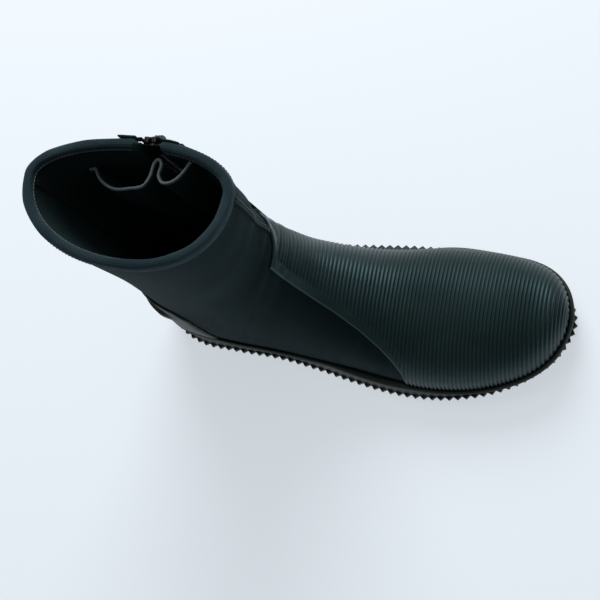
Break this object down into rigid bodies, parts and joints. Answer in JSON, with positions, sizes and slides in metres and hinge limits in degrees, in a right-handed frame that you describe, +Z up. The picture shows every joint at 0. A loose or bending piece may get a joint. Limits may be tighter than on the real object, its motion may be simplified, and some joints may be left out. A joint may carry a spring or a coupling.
{
  "type": "neoprene diving boot",
  "caption": "Right-foot neoprene boot with a ribbed rubber vamp, a serrated rubber sole, a folded cuff hem and a toothed zip with a gusset on its inner side.",
  "frame": {"origin": "on the ground, under the middle of the boot's bounding box", "axes": "+X towards the toe, +Y towards the inner side of the right foot, +Z up"},
  "size_m": [0.3118, 0.1108, 0.2324],
  "materials": {
    "neoprene_jersey": "matte nylon jersey bonded to neoprene foam",
    "hem_jersey": "worn blue-grey nylon jersey",
    "ribbed_rubber": "satin moulded ribs",
    "sole_rubber": "matte moulded rubber",
    "foam": "closed-cell foam sheet",
    "webbing": "woven polyester tape",
    "overlock_thread": "light grey overlock stitching",
    "zip_plastic": "black acetal, slight gloss"
  },
  "bodies": {
    "boot": {"outsole": "sole_rubber", "midsole": "foam", "rand": "sole_rubber", "heel_patch": "sole_rubber", "ribbed_vamp": "ribbed_rubber", "sock_sole": "neoprene_jersey", "insole": "foam", "outer_panel": "neoprene_jersey", "inner_front_panel": "neoprene_jersey", "inner_heel_panel": "neoprene_jersey", "cuff_hem": "hem_jersey", "front_seam_tape": "neoprene_jersey", "back_seam_tape": "webbing", "gusset": "neoprene_jersey", "gusset_binding": "overlock_thread", "hem_tab_front": "webbing", "hem_tab_rear": "webbing", "zip_tape_front": "webbing", "zip_tape_rear": "webbing", "zip_teeth_front": "zip_plastic", "zip_teeth_rear": "zip_plastic", "zip_top_stop_front": "zip_plastic", "zip_top_stop_rear": "zip_plastic", "zip_bottom_stop": "zip_plastic", "zip_foot_patch": "sole_rubber"},
    "zip_slider": {"zip_slider": "zip_plastic"},
    "pull_tab": {"zip_pull_tab": "zip_plastic"}
  },
  "joints": [
    {"name": "zip_slide", "type": "slide", "parent": "boot", "child": "zip_slider", "axis": [0.1343, 0.0169, -0.9908], "range_m": [0, 0.147]},
    {"name": "pull_tab_hinge", "type": "hinge", "parent": "zip_slider", "child": "pull_tab", "pos_m": [-0.08031, 0.03907, 0.20969], "axis": [0.9909, 0, 0.1343], "range_deg": [0, 170]}
  ]
}
